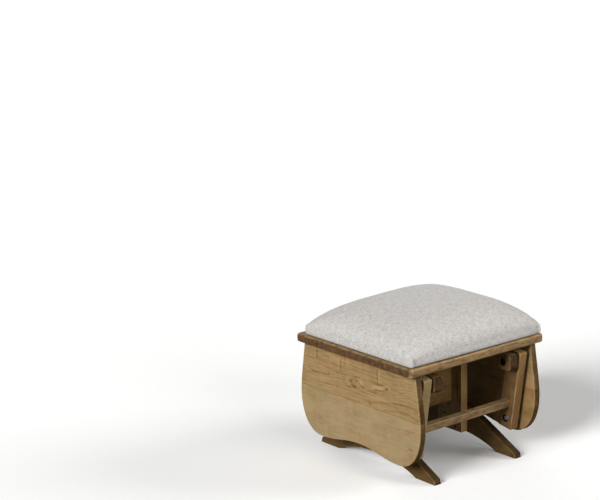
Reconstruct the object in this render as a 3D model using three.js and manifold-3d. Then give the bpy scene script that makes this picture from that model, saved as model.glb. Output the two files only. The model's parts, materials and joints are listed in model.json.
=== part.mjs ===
// Glider ottoman: an upholstered seat on a wooden carriage that swings on four leaning arms,
// hung from the two fore-and-aft rails of a fixed base.
// Millimetres. +X is across the seat, -Y is the open front, +Z is up, the floor is Z = 0.

import * as THREE from 'three';
import { mergeVertices } from 'three/addons/utils/BufferGeometryUtils.js';
import Module from 'manifold-3d';

const wasm = await Module();
wasm.setup();

// Fits
const seatGap = 0.3;          // glue line or seat between two pieces that touch
const runGap = 1;             // running gap round a turning spacer
const openPivotGap = 2.9;     // extra room round the rear lower pivots
const overrun = 2;            // how far a cutter runs past the face it cuts

// Heights, from the floor up
const lowerPivotHeight = 100;
const armDrop = 184;          // height between the two pivots of an arm
const topAbovePivot = 41.6;   // upper pivot to the underside of the seat top

// Seat top
const topWidth = 510;
const topDepth = 486.5;
const topThickness = 25;
const topCornerRadius = 10;
const topEdge = 6;

// Pivots, fore and aft
const lowerPivotInset = 65.75; // front or rear edge of the seat top to the lower pivots
const armRake = 29;           // how far an arm leans outwards from its lower to its upper pivot

// Side panels
const panelThickness = 21;
const panelOverhang = 23.5;   // edge of the seat top to the outer face of a panel
const panelSetback = 9.25;    // front of the seat top to the panel's top corner
const panelBelly = 20;        // how far the belly stands past the top corner
const panelBellyHeight = 72;  // belly above the lower pivot
const panelDrop = 47;         // lower pivot to the lowest point of a lobe
const panelLobeInset = 89;    // belly to the lowest point of a lobe
const panelArchRise = 19;
const panelEdge = 2.5;

// Swing arms and stretchers
const armThickness = 28.5;
const armWidth = 50.8;
const armPanelGap = 12.5;
const armAbovePivot = 26;
const armBelowPivot = 28;
const armTopRadius = 6;
const armBottomRadius = 3;
const armEdge = 2;
const stretcherHeight = 22;
const stretcherThickness = 20;
const stretcherAbovePivot = 50;
const stretcherEdge = 1.5;
const tenonLength = 12;
const tenonShoulder = 4;

// Hanger rails
const hangerThickness = 30;
const hangerHeight = 47;
const hangerArmGap = 9.5;
const hangerBeyondPivot = 28.5;
const hangerEndRadius = 14;
const hangerEdge = 2;
const hangerLap = 13.5;       // how deep the uprights are let into the rails

// Base
const uprightThickness = 25;
const uprightWidth = 98;
const uprightBottom = 34;
const uprightEdge = 1.5;
const crossThickness = 22;
const crossHeight = 183;
const crossEdge = 1.5;
const footThickness = 25;
const footHalfLength = 242.7;
const footTipHeight = 14.5;
const footTipSlant = 3.7;
const footTopHeight = 112;
const footTopHalf = 45;
const footPadLength = 77;
const footArchHeight = 32.4;
const footEdge = 2;

// Pivot hardware
const boltRadius = 4;
const boltHeadRadius = 7.4;
const boltHeadHeight = 5;
const boltHeadCorner = 1.8;
const boltTip = 1;
const socketRadius = 3;
const socketDepth = 2.6;
const counterboreDepth = 10;
const bearingRadius = 11;
const bearingWidth = 7;
const bearingLip = 2.4;       // radial width of each bearing ring
const bearingShield = 0.6;    // how far the shields lie below the rings
const pocketDepth = 15;
const spacerRadius = 6;
const flangeRadius = 19;
const flangeThickness = 2;
const nutRadius = 7.5;
const nutHeight = 6.5;
const nutCollar = 1.6;
const nutCollarInset = 1.6;
const insertRadius = 6;
const insertLength = 13;
const insertHoleDepth = 15;
const boltInPanel = 14;

// Cushion and its board
const cushionMarginX = 5.5;
const cushionMarginY = 14.75;
const cushionShiftX = 1.5;    // the cushion sits a little off centre on the seat top
const cushionShiftY = -8.5;
const cushionWall = 22;
const cushionCrown = 78;
const cushionTuck = 4;        // fabric pulled in under the edge
const cushionDrawIn = 2;      // sides drawn in between the corners
const boardThickness = 12;
const boardInset = 13;

// Shares, chosen by hand
const crownShares = { power: 3.48, root: 0.476, leanX: 0.086, leanY: -0.009 };
const panelCurveShares = { lobe: 0.6, belly: 0.6, flare: 0.28, waist: 0.36, waistIn: 0.35, arch: 0.42 };
const footArchShare = 0.575;

// Counts
const roundSteps = 16;
const pocketSteps = 24;
const curveSteps = 10;
const cushionCells = 22;

// Worked out from the sizes above
const upperPivotHeight = lowerPivotHeight + armDrop;
const topUnderside = upperPivotHeight + topAbovePivot;
const topFace = topUnderside + topThickness;
const lowerPivotY = topDepth / 2 - lowerPivotInset;
const upperPivotY = lowerPivotY + armRake;
const armReach = Math.hypot(armDrop, armRake);
const armLean = Math.atan2(armRake, armDrop);
const panelOuter = topWidth / 2 - panelOverhang;
const panelInner = panelOuter - panelThickness;
const armOuter = panelInner - armPanelGap;
const armInner = armOuter - armThickness;
const hangerOuter = armInner - hangerArmGap;
const hangerInner = hangerOuter - hangerThickness;
const hangerTop = upperPivotHeight + hangerHeight / 2;
const uprightOuter = hangerInner + hangerLap;
const uprightInner = uprightOuter - uprightThickness;
const footInner = uprightOuter + seatGap;
const holeRadius = boltRadius + seatGap;
const pocketRadius = bearingRadius + seatGap;
const cushionHalfX = topWidth / 2 - cushionMarginX;
const cushionHalfY = topDepth / 2 - cushionMarginY;

// Finishes
const finish = (color, roughness, metalness) => (
  new THREE.MeshStandardMaterial({ color, roughness, metalness })
);
const stainedMaple = () => finish(0x8f7550, 0.45, 0);
const plywood = () => finish(0xb89a6a, 0.7, 0);
const linen = () => finish(0xd0cdc8, 0.95, 0);
const darkSteel = () => finish(0x4a5058, 0.4, 1);
const brightSteel = () => finish(0xb4b6b8, 0.3, 1);
const brass = () => finish(0xb08d4a, 0.35, 1);

// A three.js geometry as a solid that can be cut and joined
function solid(geometry) {
  const bare = geometry.clone();
  bare.deleteAttribute('normal');
  bare.deleteAttribute('uv');
  const merged = mergeVertices(bare);
  return new wasm.Manifold(new wasm.Mesh({
    numProp: 3,
    vertProperties: Float32Array.from(merged.attributes.position.array),
    triVerts: Uint32Array.from(merged.index.array),
  }));
}

// A cut or joined solid as a three.js geometry again
function geometryOf(body) {
  const mesh = body.getMesh();
  const geometry = new THREE.BufferGeometry();
  geometry.setAttribute('position', new THREE.BufferAttribute(mesh.vertProperties, 3));
  geometry.setIndex(new THREE.BufferAttribute(mesh.triVerts, 1));
  return geometry;
}

function addMesh(group, name, geometry, material, position = [0, 0, 0]) {
  const mesh = new THREE.Mesh(geometry, material);
  mesh.name = name;
  mesh.position.set(...position);
  group.add(mesh);
  return mesh;
}

// A block between two corners
function block([x0, y0, z0], [x1, y1, z1]) {
  const box = new THREE.BoxGeometry(x1 - x0, y1 - y0, z1 - z0);
  return box.translate((x0 + x1) / 2, (y0 + y1) / 2, (z0 + z1) / 2);
}

// A round bar along X
function barX(radius, from, to, y = 0, z = 0, steps = roundSteps) {
  const bar = new THREE.CylinderGeometry(radius, radius, to - from, steps);
  return bar.rotateZ(-Math.PI / 2).translate((from + to) / 2, y, z);
}

// A ring or pin turned about the X axis: a profile of [radius, x] pairs, against the clock
function turnedX(profile, steps = roundSteps) {
  const points = profile.map(([radius, x]) => new THREE.Vector2(radius, x));
  return new THREE.LatheGeometry(points, steps).rotateZ(-Math.PI / 2);
}

// A board cut to an outline in the YZ plane, centred on X = 0, with eased edges
function board(outline, thickness, edge, curveSegments = curveSteps) {
  const geometry = new THREE.ExtrudeGeometry(outline, {
    depth: thickness - edge * 2,
    bevelThickness: edge,
    bevelSize: edge,
    bevelOffset: -edge,
    bevelSegments: 2,
    curveSegments,
  });
  geometry.translate(0, 0, edge - thickness / 2);
  const turn = new THREE.Matrix4().makeBasis(
    new THREE.Vector3(0, 1, 0),
    new THREE.Vector3(0, 0, 1),
    new THREE.Vector3(1, 0, 0),
  );
  return geometry.applyMatrix4(turn);
}

// A rectangle with its own radius at the top and bottom corners
function roundedOutline(left, right, bottom, top, bottomRadius, topRadius) {
  const shape = new THREE.Shape();
  shape.moveTo(left + bottomRadius, bottom);
  shape.lineTo(right - bottomRadius, bottom);
  shape.quadraticCurveTo(right, bottom, right, bottom + bottomRadius);
  shape.lineTo(right, top - topRadius);
  shape.quadraticCurveTo(right, top, right - topRadius, top);
  shape.lineTo(left + topRadius, top);
  shape.quadraticCurveTo(left, top, left, top - topRadius);
  shape.lineTo(left, bottom + bottomRadius);
  shape.quadraticCurveTo(left, bottom, left + bottomRadius, bottom);
  return shape;
}

// Seat top: one edge-glued board, rounded at its corners and along its edges
function topBoardGeometry() {
  const halfX = topWidth / 2;
  const halfY = topDepth / 2;
  const plan = roundedOutline(-halfX, halfX, -halfY, halfY, topCornerRadius, topCornerRadius);
  const slab = new THREE.ExtrudeGeometry(plan, {
    depth: topThickness - topEdge * 2,
    bevelThickness: topEdge,
    bevelSize: topEdge,
    bevelOffset: -topEdge,
    bevelSegments: 4,
    curveSegments: 6,
  });
  return slab.translate(0, 0, topUnderside + topEdge);
}

// Side panel: straight under the seat top, flared to a belly, round lobes and a shallow arch between
function panelOutline() {
  const top = topUnderside - seatGap;
  const topHalf = topDepth / 2 - panelSetback;
  const bellyHalf = topHalf + panelBelly;
  const bellyZ = lowerPivotHeight + panelBellyHeight;
  const low = lowerPivotHeight - panelDrop;
  const lobeHalf = bellyHalf - panelLobeInset;
  const flareRise = top - bellyZ;
  const share = panelCurveShares;
  const shape = new THREE.Shape();
  const halfUp = (s) => {
    shape.bezierCurveTo(
      s * (lobeHalf + panelLobeInset * share.lobe), low,
      s * bellyHalf, bellyZ - (bellyZ - low) * share.belly,
      s * bellyHalf, bellyZ,
    );
    shape.bezierCurveTo(
      s * bellyHalf, bellyZ + flareRise * share.flare,
      s * (topHalf + panelBelly * share.waistIn), top - flareRise * share.waist,
      s * topHalf, top,
    );
  };
  const halfDown = (s) => {
    shape.bezierCurveTo(
      s * (topHalf + panelBelly * share.waistIn), top - flareRise * share.waist,
      s * bellyHalf, bellyZ + flareRise * share.flare,
      s * bellyHalf, bellyZ,
    );
    shape.bezierCurveTo(
      s * bellyHalf, bellyZ - (bellyZ - low) * share.belly,
      s * (lobeHalf + panelLobeInset * share.lobe), low,
      s * lobeHalf, low,
    );
  };
  const archTop = low + panelArchRise;
  shape.moveTo(0, archTop);
  shape.bezierCurveTo(lobeHalf * share.arch, archTop, lobeHalf * (1 - share.arch), low, lobeHalf, low);
  halfUp(1);
  shape.lineTo(-topHalf, top);
  halfDown(-1);
  shape.bezierCurveTo(-lobeHalf * (1 - share.arch), low, -lobeHalf * share.arch, archTop, 0, archTop);
  return shape;
}

function addSidePanels(group) {
  const blank = board(panelOutline(), panelThickness, panelEdge);
  for (const [name, side] of [['side_panel_left', -1], ['side_panel_right', 1]]) {
    let body = solid(blank);
    const inner = -side * panelThickness / 2;
    const from = Math.min(inner - side * overrun, inner + side * insertHoleDepth);
    const to = Math.max(inner - side * overrun, inner + side * insertHoleDepth);
    for (const y of [-lowerPivotY, lowerPivotY]) {
      body = body.subtract(solid(barX(insertRadius + seatGap, from, to, y, lowerPivotHeight)));
    }
    const x = side * (panelOuter - panelThickness / 2);
    addMesh(group, name, geometryOf(body), stainedMaple(), [x, 0, 0]);
  }
}

// Cushion: the height of its crown over a point given as shares of its half sizes.
// The highest spot lies a little off centre, towards the right and the front.
function crownHeight(u, v) {
  const { power, root, leanX, leanY } = crownShares;
  const fall = (t, lean) => Math.max(0, 1 - Math.abs(t) ** power) ** root * (1 + lean * t);
  return cushionCrown * fall(u, leanX) * fall(v, leanY);
}

// Cushion: a crowned skin over low walls, tucked in below and drawn in between the corners
function cushionGeometry(bottom) {
  const positions = [];
  const index = [];
  const put = (x, y, z) => {
    positions.push(x, y, z);
    return positions.length / 3 - 1;
  };
  const spread = (i) => Math.sin((i / cushionCells - 1 / 2) * Math.PI);
  const skin = [];
  for (let j = 0; j <= cushionCells; j += 1) {
    const row = [];
    for (let i = 0; i <= cushionCells; i += 1) {
      const u = spread(i);
      const v = spread(j);
      const x = u * (cushionHalfX - cushionDrawIn * (1 - v * v));
      const y = v * (cushionHalfY - cushionDrawIn * (1 - u * u));
      row.push(put(x, y, bottom + cushionWall + crownHeight(u, v)));
    }
    skin.push(row);
  }
  const last = cushionCells;
  for (let j = 0; j < last; j += 1) {
    for (let i = 0; i < last; i += 1) {
      index.push(skin[j][i], skin[j][i + 1], skin[j + 1][i + 1]);
      index.push(skin[j][i], skin[j + 1][i + 1], skin[j + 1][i]);
    }
  }
  const border = [];
  for (let i = 0; i < last; i += 1) border.push(skin[0][i]);
  for (let j = 0; j < last; j += 1) border.push(skin[j][last]);
  for (let i = last; i > 0; i -= 1) border.push(skin[last][i]);
  for (let j = last; j > 0; j -= 1) border.push(skin[j][0]);
  const ring = (z, tuck) => border.map((id) => put(
    positions[id * 3] * (1 - tuck / cushionHalfX),
    positions[id * 3 + 1] * (1 - tuck / cushionHalfY),
    z,
  ));
  const loops = [border, ring(bottom + cushionWall / 2, 0), ring(bottom, cushionTuck)];
  for (let k = 0; k < loops.length - 1; k += 1) {
    const [upper, lower] = [loops[k], loops[k + 1]];
    for (let i = 0; i < upper.length; i += 1) {
      const next = (i + 1) % upper.length;
      index.push(upper[i], lower[i], lower[next]);
      index.push(upper[i], lower[next], upper[next]);
    }
  }
  const centre = put(0, 0, bottom);
  const base = loops[loops.length - 1];
  base.forEach((id, i) => index.push(base[(i + 1) % base.length], id, centre));
  const geometry = new THREE.BufferGeometry();
  geometry.setAttribute('position', new THREE.Float32BufferAttribute(positions, 3));
  geometry.setIndex(index);
  return geometry;
}

function addSeat(group) {
  const bottom = topFace + seatGap;
  const halfX = cushionHalfX - boardInset;
  const halfY = cushionHalfY - boardInset;
  const top = bottom + boardThickness;
  const pocketX = halfX + seatGap;
  const pocketY = halfY + seatGap;
  const pocket = block([-pocketX, -pocketY, bottom - overrun], [pocketX, pocketY, top + seatGap]);
  const body = solid(cushionGeometry(bottom)).subtract(solid(pocket));
  const place = [cushionShiftX, cushionShiftY, 0];
  addMesh(group, 'seat_cushion', geometryOf(body), linen(), place);
  addMesh(group, 'seat_board', block([-halfX, -halfY, bottom], [halfX, halfY, top]), plywood(), place);
}

// Foot: low cut tips, straight backs up to a flat top, floor pads and an arched underside
function footOutline() {
  const padInner = footHalfLength - footPadLength;
  const shape = new THREE.Shape();
  shape.moveTo(-footHalfLength, 0);
  shape.lineTo(-padInner, 0);
  shape.quadraticCurveTo(-padInner * footArchShare, footArchHeight, 0, footArchHeight);
  shape.quadraticCurveTo(padInner * footArchShare, footArchHeight, padInner, 0);
  shape.lineTo(footHalfLength, 0);
  shape.lineTo(footHalfLength - footTipSlant, footTipHeight);
  shape.lineTo(footTopHalf, footTopHeight);
  shape.lineTo(-footTopHalf, footTopHeight);
  shape.lineTo(footTipSlant - footHalfLength, footTipHeight);
  return shape;
}

// Hanger rail: rounded ends, a bolt hole with its counterbore at each end, a housing for the upright
function hangerRail(side) {
  const half = upperPivotY + hangerBeyondPivot;
  const outline = roundedOutline(
    -half, half,
    upperPivotHeight - hangerHeight / 2, hangerTop,
    hangerEndRadius, hangerEndRadius,
  );
  let body = solid(board(outline, hangerThickness, hangerEdge, curveSteps / 2));
  const inner = -side * hangerThickness / 2;
  const lapFace = inner + side * (hangerLap + seatGap);
  const lapHalf = uprightWidth / 2 + seatGap;
  const away = inner - side * overrun;
  body = body.subtract(solid(block(
    [Math.min(away, lapFace), -lapHalf, upperPivotHeight - hangerHeight],
    [Math.max(away, lapFace), lapHalf, upperPivotHeight + hangerHeight],
  )));
  const floor = inner + side * counterboreDepth;
  const [from, to] = [Math.min(away, floor), Math.max(away, floor)];
  for (const y of [-upperPivotY, upperPivotY]) {
    const recess = barX(pocketRadius, from, to, y, upperPivotHeight, pocketSteps);
    const hole = barX(holeRadius, -hangerThickness, hangerThickness, y, upperPivotHeight);
    body = body.subtract(solid(recess)).subtract(solid(hole));
  }
  return geometryOf(body);
}

function addBase(group) {
  for (const [sideName, side] of [['left', -1], ['right', 1]]) {
    const footX = side * (footInner + footThickness / 2);
    const foot = board(footOutline(), footThickness, footEdge);
    addMesh(group, `foot_${sideName}`, foot, stainedMaple(), [footX, 0, 0]);
    const uprightX = side * (uprightInner + uprightThickness / 2);
    const half = uprightWidth / 2;
    const outline = roundedOutline(-half, half, uprightBottom, hangerTop, uprightEdge, uprightEdge);
    const uprightBoard = board(outline, uprightThickness, uprightEdge, 1);
    addMesh(group, `upright_${sideName}`, uprightBoard, stainedMaple(), [uprightX, 0, 0]);
    const railX = side * (hangerInner + hangerThickness / 2);
    addMesh(group, `hanger_rail_${sideName}`, hangerRail(side), stainedMaple(), [railX, 0, 0]);
  }
  const crossHalf = crossThickness / 2;
  const crossBottom = hangerTop - crossHeight;
  const crossOutline = roundedOutline(-crossHalf, crossHalf, crossBottom, hangerTop, crossEdge, crossEdge);
  const crossLength = (uprightInner - seatGap) * 2;
  addMesh(group, 'cross_board', board(crossOutline, crossLength, crossEdge, 1), stainedMaple());
}

// Swing arm: hung from the origin, with a pocket for a bearing at each end and a mortise between.
// The upper pocket opens outwards and the lower one inwards.
function swingArm(side, lowerGap) {
  const half = armWidth / 2;
  const outline = roundedOutline(
    -half, half,
    -armReach - armBelowPivot, armAbovePivot,
    armBottomRadius, armTopRadius,
  );
  let body = solid(board(outline, armThickness, armEdge, 2));
  const outer = side * armThickness / 2;
  const cut = (radius, a, b, z, steps) => {
    body = body.subtract(solid(barX(radius, Math.min(a, b), Math.max(a, b), 0, z, steps)));
  };
  cut(pocketRadius, outer + side * overrun, outer - side * pocketDepth, 0, pocketSteps);
  cut(spacerRadius + runGap, -armThickness, armThickness, 0);
  const lowerPocket = pocketRadius + lowerGap;
  cut(lowerPocket, -outer - side * overrun, -outer + side * pocketDepth, -armReach, pocketSteps);
  cut(spacerRadius + runGap + lowerGap, -armThickness, armThickness, -armReach);
  const mortiseY = stretcherThickness / 2 - tenonShoulder + seatGap;
  const mortiseZ = stretcherHeight / 2 - tenonShoulder + seatGap;
  const inner = -outer;
  const deep = inner + side * (tenonLength + seatGap);
  const past = inner - side * overrun;
  const z = stretcherAbovePivot - armReach;
  const mortise = block(
    [Math.min(past, deep), -mortiseY, z - mortiseZ],
    [Math.max(past, deep), mortiseY, z + mortiseZ],
  );
  return geometryOf(body.subtract(solid(mortise)));
}

function stretcherGeometry() {
  const halfY = stretcherThickness / 2;
  const halfZ = stretcherHeight / 2;
  const outline = roundedOutline(-halfY, halfY, -halfZ, halfZ, stretcherEdge, stretcherEdge);
  const length = (armInner - seatGap) * 2;
  const bar = solid(board(outline, length, stretcherEdge, 1));
  const tenonX = length / 2 + tenonLength;
  const tenonY = halfY - tenonShoulder;
  const tenonZ = halfZ - tenonShoulder;
  return geometryOf(bar.add(solid(block([-tenonX, -tenonY, -tenonZ], [tenonX, tenonY, tenonZ]))));
}

// Ball bearing: two rings with sunk shields between them, from x = 0
function bearingGeometry() {
  const bore = holeRadius;
  const innerLip = bore + bearingLip;
  const outerLip = bearingRadius - bearingLip;
  return turnedX([
    [bore, 0], [innerLip, 0], [innerLip, bearingShield], [outerLip, bearingShield], [outerLip, 0],
    [bearingRadius, 0], [bearingRadius, bearingWidth], [outerLip, bearingWidth],
    [outerLip, bearingWidth - bearingShield], [innerLip, bearingWidth - bearingShield],
    [innerLip, bearingWidth], [bore, bearingWidth], [bore, 0],
  ]);
}

// Bolt: its head's seat is x = 0 and its shank runs to x = length
function boltGeometry(length) {
  const pin = turnedX([
    [0, -boltHeadHeight], [boltHeadRadius - boltHeadCorner, -boltHeadHeight],
    [boltHeadRadius, boltHeadCorner - boltHeadHeight], [boltHeadRadius, 0], [boltRadius, 0],
    [boltRadius, length - boltTip], [boltRadius - boltTip, length], [0, length],
  ]);
  const socket = barX(socketRadius, -boltHeadHeight - overrun, socketDepth - boltHeadHeight, 0, 0, 6);
  return geometryOf(solid(pin).subtract(solid(socket)));
}

// Plain tube from x = 0, with a flange at its far end if it has one
function spacerGeometry(length, flange) {
  const profile = [[holeRadius, 0], [spacerRadius, 0]];
  if (flange) {
    profile.push([spacerRadius, length - flangeThickness], [flangeRadius, length - flangeThickness]);
    profile.push([flangeRadius, length]);
  } else {
    profile.push([spacerRadius, length]);
  }
  profile.push([holeRadius, length], [holeRadius, 0]);
  return turnedX(profile);
}

function nutGeometry() {
  const hex = solid(barX(nutRadius, 0, nutHeight - nutCollar, 0, 0, 6));
  const collar = solid(barX(nutRadius - nutCollarInset, 0, nutHeight));
  const bore = solid(barX(holeRadius, -overrun, nutHeight + overrun));
  return geometryOf(hex.add(collar).subtract(bore));
}

function insertGeometry() {
  return turnedX([
    [holeRadius, 0], [insertRadius, 0], [insertRadius, insertLength],
    [holeRadius, insertLength], [holeRadius, 0],
  ]);
}

// A piece turned about X that starts at |x| = start on one side and runs outwards
function addOutwards(group, name, geometry, material, side, start, y, z) {
  const mesh = addMesh(group, name, geometry, material, [side * start, y, z]);
  mesh.rotation.z = side > 0 ? 0 : Math.PI;
}

function addPivots(base, swing, carriage, endName, sy, isOpen) {
  const upperY = sy * upperPivotY;
  const lowerY = sy * lowerPivotY;
  const headSeat = hangerInner + counterboreDepth - seatGap;
  const upperBearing = armOuter - pocketDepth + seatGap;
  const nutStart = upperBearing + bearingWidth + seatGap;
  const upperEnd = nutStart + nutHeight + seatGap;
  const lowerBearing = armInner + pocketDepth - seatGap - bearingWidth;
  const lowerSeat = lowerBearing - seatGap;
  const spacerStart = hangerOuter + seatGap;
  const flangedStart = armInner + pocketDepth;
  const flangedLength = panelInner - seatGap - flangedStart;
  for (const [sideName, side] of [['left', -1], ['right', 1]]) {
    const tag = `${endName}_${sideName}`;
    const put = (group, kind, geometry, material, start, y, z) => {
      addOutwards(group, `${kind}_${tag}`, geometry, material, side, start, y, z);
    };
    const high = upperPivotHeight;
    const low = lowerPivotHeight;
    put(base, 'upper_bolt', boltGeometry(upperEnd - headSeat), darkSteel(), headSeat, upperY, high);
    const tube = spacerGeometry(upperBearing - seatGap - spacerStart, false);
    put(base, 'upper_spacer', tube, brightSteel(), spacerStart, upperY, high);
    put(base, 'lock_nut', nutGeometry(), brightSteel(), nutStart, upperY, high);
    put(swing, 'upper_bearing', bearingGeometry(), brightSteel(), upperBearing, 0, 0);
    const lowerBody = isOpen ? carriage : swing;
    const place = isOpen ? [lowerY, low] : [0, -armReach];
    put(lowerBody, 'lower_bearing', bearingGeometry(), brightSteel(), lowerBearing, ...place);
    const boltLength = panelInner + boltInPanel - lowerSeat;
    put(carriage, 'lower_bolt', boltGeometry(boltLength), darkSteel(), lowerSeat, lowerY, low);
    const flanged = spacerGeometry(flangedLength, true);
    put(carriage, 'flanged_spacer', flanged, brightSteel(), flangedStart, lowerY, low);
    put(carriage, 'panel_insert', insertGeometry(), brass(), panelInner + seatGap * 2, lowerY, low);
  }
}

function addSwing(swing, endName, lowerGap) {
  for (const [sideName, side] of [['left', -1], ['right', 1]]) {
    const x = side * (armInner + armThickness / 2);
    addMesh(swing, `${endName}_arm_${sideName}`, swingArm(side, lowerGap), stainedMaple(), [x, 0, 0]);
  }
  const place = [0, 0, stretcherAbovePivot - armReach];
  addMesh(swing, `${endName}_stretcher`, stretcherGeometry(), stainedMaple(), place);
}

// Assembly
const ottoman = new THREE.Group();
const base = new THREE.Group();
const carriage = new THREE.Group();
const frontSwing = new THREE.Group();
const rearSwing = new THREE.Group();
frontSwing.position.set(0, -upperPivotY, upperPivotHeight);
frontSwing.rotation.x = armLean;
rearSwing.position.set(0, upperPivotY, upperPivotHeight);
rearSwing.rotation.x = -armLean;
ottoman.add(base, frontSwing, rearSwing, carriage);

addBase(base);
addSwing(frontSwing, 'front', 0);
addSwing(rearSwing, 'rear', openPivotGap);
addMesh(carriage, 'top_board', topBoardGeometry(), stainedMaple());
addSidePanels(carriage);
addSeat(carriage);
addPivots(base, frontSwing, carriage, 'front', -1, false);
addPivots(base, rearSwing, carriage, 'rear', 1, true);

export default ottoman;
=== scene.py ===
# Glider ottoman: the looks. Metres, +Z up, the same frame as the solids.
import json
import math

import bmesh
import bpy
import numpy as np
from mathutils import Matrix, Vector, noise

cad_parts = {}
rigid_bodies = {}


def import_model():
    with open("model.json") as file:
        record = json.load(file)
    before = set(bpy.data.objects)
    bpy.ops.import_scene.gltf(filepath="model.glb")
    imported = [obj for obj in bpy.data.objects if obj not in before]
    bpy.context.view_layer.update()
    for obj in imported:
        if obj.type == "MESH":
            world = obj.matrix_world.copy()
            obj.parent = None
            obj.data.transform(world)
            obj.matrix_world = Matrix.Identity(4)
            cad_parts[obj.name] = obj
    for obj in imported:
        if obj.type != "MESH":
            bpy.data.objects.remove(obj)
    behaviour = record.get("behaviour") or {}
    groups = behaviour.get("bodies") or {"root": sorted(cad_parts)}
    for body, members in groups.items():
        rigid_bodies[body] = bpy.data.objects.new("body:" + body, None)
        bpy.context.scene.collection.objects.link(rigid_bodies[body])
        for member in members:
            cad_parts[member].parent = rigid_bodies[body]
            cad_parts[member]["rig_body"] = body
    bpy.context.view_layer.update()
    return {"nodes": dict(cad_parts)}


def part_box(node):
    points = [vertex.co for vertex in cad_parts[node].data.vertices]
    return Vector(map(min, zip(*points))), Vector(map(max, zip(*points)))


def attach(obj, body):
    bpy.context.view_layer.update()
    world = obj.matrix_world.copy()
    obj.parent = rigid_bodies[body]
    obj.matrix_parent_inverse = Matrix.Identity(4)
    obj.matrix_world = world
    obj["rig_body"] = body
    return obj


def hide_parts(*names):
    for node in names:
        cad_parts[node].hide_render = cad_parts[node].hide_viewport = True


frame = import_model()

MM = 0.001
NODES = frame["nodes"]
SIDES = {"left": -1, "right": 1}
ENDS = {"front": -1, "rear": 1}


def placed(name, data):
    """A new object in the scene."""
    thing = bpy.data.objects.new(name, data)
    bpy.context.scene.collection.objects.link(thing)
    return thing


# Camera: the photograph's place in metres, turn in degrees and angle of view
CAMERA_PLACE = (-3.5661, -3.8717, 1.9313)
AZIMUTH, ELEVATION, ROLL = (math.radians(angle) for angle in (-39.0, 14.2, -1.2))
PHOTO_WIDTH_PX = 600
FOCAL_PX = 1922.1
SENSOR_MM = 36.0
FAR_CLIP = 100


def make_camera():
    lens = bpy.data.cameras.new("camera")
    lens.sensor_width = SENSOR_MM
    lens.lens = FOCAL_PX / PHOTO_WIDTH_PX * SENSOR_MM
    lens.clip_end = FAR_CLIP
    camera = placed("camera", lens)
    aimed = Matrix.Rotation(AZIMUTH, 4, "Z") @ Matrix.Rotation(math.pi / 2 - ELEVATION, 4, "X")
    turn = aimed @ Matrix.Rotation(ROLL, 4, "Z")
    camera.matrix_world = Matrix.Translation(CAMERA_PLACE) @ turn
    bpy.context.scene.camera = camera


make_camera()


# Node trees, with short names for the kinds that come often
MATH = "ShaderNodeMath"
VECTOR_MATH = "ShaderNodeVectorMath"
MAP_RANGE = "ShaderNodeMapRange"
MIX = "ShaderNodeMix"


def add(tree, kind, inputs=None, stops=None, **settings):
    """A node of that kind with its settings. An input is a value, a socket, or a node, whose first
    live output it takes. Stops are the (place, hex colour) pairs of a colour ramp."""
    node = tree.nodes.new(kind)
    for key, value in settings.items():
        setattr(node, key, value)
    for key, value in (inputs or {}).items():
        if isinstance(value, bpy.types.Node):
            value = next(socket for socket in value.outputs if socket.enabled)
        if isinstance(value, bpy.types.NodeSocket):
            tree.links.new(value, node.inputs[key])
        else:
            node.inputs[key].default_value = value
    if stops:
        bar = node.color_ramp
        while len(bar.elements) < len(stops):
            bar.elements.new(0.5)
        for element, (place, code) in zip(bar.elements, stops):
            element.position = place
            element.color = linear(code)
    return node


def moved_by(tree, tone, pattern, weight):
    """The tone moved up and down by a pattern that lies about 0.5."""
    about = add(tree, MATH, {0: pattern, 1: 0.5}, operation="SUBTRACT")
    return add(tree, MATH, {0: about, 1: weight, 2: tone}, operation="MULTIPLY_ADD")


def linear(code):
    """An sRGB hex colour as the linear colour with alpha that a shader takes."""
    shares = [int(code[i:i + 2], 16) / 255 for i in (1, 3, 5)]
    return [s / 12.92 if s <= 0.04045 else ((s + 0.055) / 1.055) ** 2.4 for s in shares] + [1.0]


def marks_of(tree, place, sizes, detail=2, roughness=0.5, start=(0, 0, 0)):
    """Soft random marks of these sizes in mm, from 0 to 1."""
    scaled = add(tree, "ShaderNodeMapping", {
        "Vector": place, "Scale": [1 / (size * MM) for size in sizes], "Location": start,
    })
    return add(tree, "ShaderNodeTexNoise", {
        "Vector": scaled, "Scale": 1, "Detail": detail, "Roughness": roughness,
    })


def new_material(name):
    material = bpy.data.materials.new(name)
    material.use_nodes = True
    material.node_tree.nodes.clear()
    return material, material.node_tree


def surfaced(material, inputs):
    """The material with one shader of these inputs as its surface."""
    shader = add(material.node_tree, "ShaderNodeBsdfPrincipled", inputs)
    add(material.node_tree, "ShaderNodeOutputMaterial", {"Surface": shader})
    return material


# Maple, edge-glued, brushed with a brown glaze and rubbed back under satin lacquer. The eye sees
# faint rings and fibres along the grain, darker end grain, cloudy glaze and paler worn arrises, and the
# arrises and corners also carry a painted highlight. The walls of the bolt holes are painted dark as
# shade, and some pieces are tinted as painted light and shade.
ARM_LEAN = math.atan2(29, 184)      # an arm's pivots lie 29 mm apart fore and aft, 184 mm in height
GRAIN_TURN = {
    "X": (0, 0, 0),
    "Y": (0, 0, -math.pi / 2),
    "Z": (0, math.pi / 2, 0),
    "front_arm": (-ARM_LEAN, math.pi / 2, 0),
    "rear_arm": (ARM_LEAN, math.pi / 2, 0),
}
GRAIN_WAY = {"X": (1, 0, 0), "Y": (0, 1, 0)}
# sizes in mm of the marks, along the grain and across it
RING_PITCH = 12
RING_WAVE = (250, 58.82, 58.82)
RIPPLE = (33.33, 9.09, 9.09)
FIBRE = (28, 2, 2)      # a pore line is finer than 0.1 mm and is drawn coarse so that it shows
GLAZE_CLOUD = (125, 58.82, 58.82)
CURL = (16.67, 71.43, 71.43)
HUE_CLOUD = (90.91, 45.45, 45.45)
PORE = (3.846, 3.846, 3.846)
RUB = (25, 25, 25)
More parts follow.
